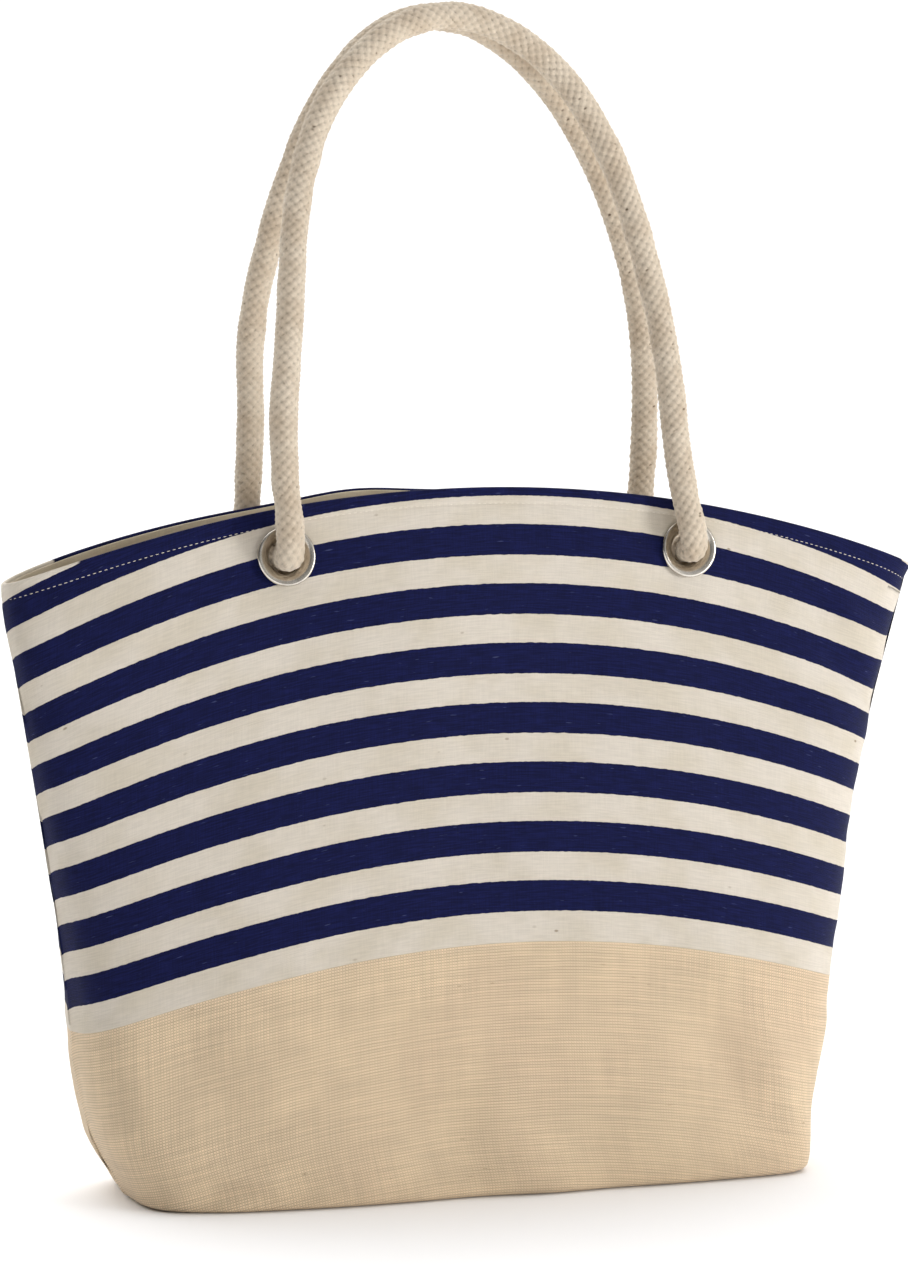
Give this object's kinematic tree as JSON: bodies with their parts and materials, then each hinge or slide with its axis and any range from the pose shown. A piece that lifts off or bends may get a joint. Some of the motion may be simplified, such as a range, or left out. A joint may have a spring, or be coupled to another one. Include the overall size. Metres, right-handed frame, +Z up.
{
  "type": "beach bag",
  "caption": "Open-topped tote with an arched mouth, striped canvas upper, jute foot and rope handles that pass through metal eyelets and swing down outside.",
  "frame": {"origin": "middle of the base, on the surface that the bag stands on", "axes": "+Z up, the front face looks along -Y, +X to the right seen from the front"},
  "size_m": [0.496, 0.131, 0.6094],
  "materials": {
    "striped_canvas": "woven cotton canvas with navy stripes on natural cream",
    "jute": "plain woven jute, tan, slubby",
    "cotton_lining": "plain cream cotton",
    "eyelet_metal": "polished nickel plate",
    "rope": "braided natural cotton rope"
  },
  "bodies": {
    "bag": {"front_canvas_panel": "striped_canvas", "front_jute_panel": "jute", "front_lining": "cotton_lining", "back_canvas_panel": "striped_canvas", "back_jute_panel": "jute", "back_lining": "cotton_lining", "jute_base": "jute", "base_lining": "cotton_lining", "front_left_eyelet": "eyelet_metal", "front_left_washer": "eyelet_metal", "front_left_knot": "rope", "front_right_eyelet": "eyelet_metal", "front_right_washer": "eyelet_metal", "front_right_knot": "rope", "back_left_eyelet": "eyelet_metal", "back_left_washer": "eyelet_metal", "back_left_knot": "rope", "back_right_eyelet": "eyelet_metal", "back_right_washer": "eyelet_metal", "back_right_knot": "rope"},
    "front_handle": {"front_handle_rope": "rope"},
    "back_handle": {"back_handle_rope": "rope"}
  },
  "joints": [
    {"name": "front_handle_swing", "type": "hinge", "parent": "bag", "child": "front_handle", "pos_m": [0, -0.0442, 0.328], "axis": [1, 0, 0], "range_deg": [0, 160]},
    {"name": "back_handle_swing", "type": "hinge", "parent": "bag", "child": "back_handle", "pos_m": [0, 0.0442, 0.328], "axis": [-1, 0, 0], "range_deg": [0, 160]}
  ]
}
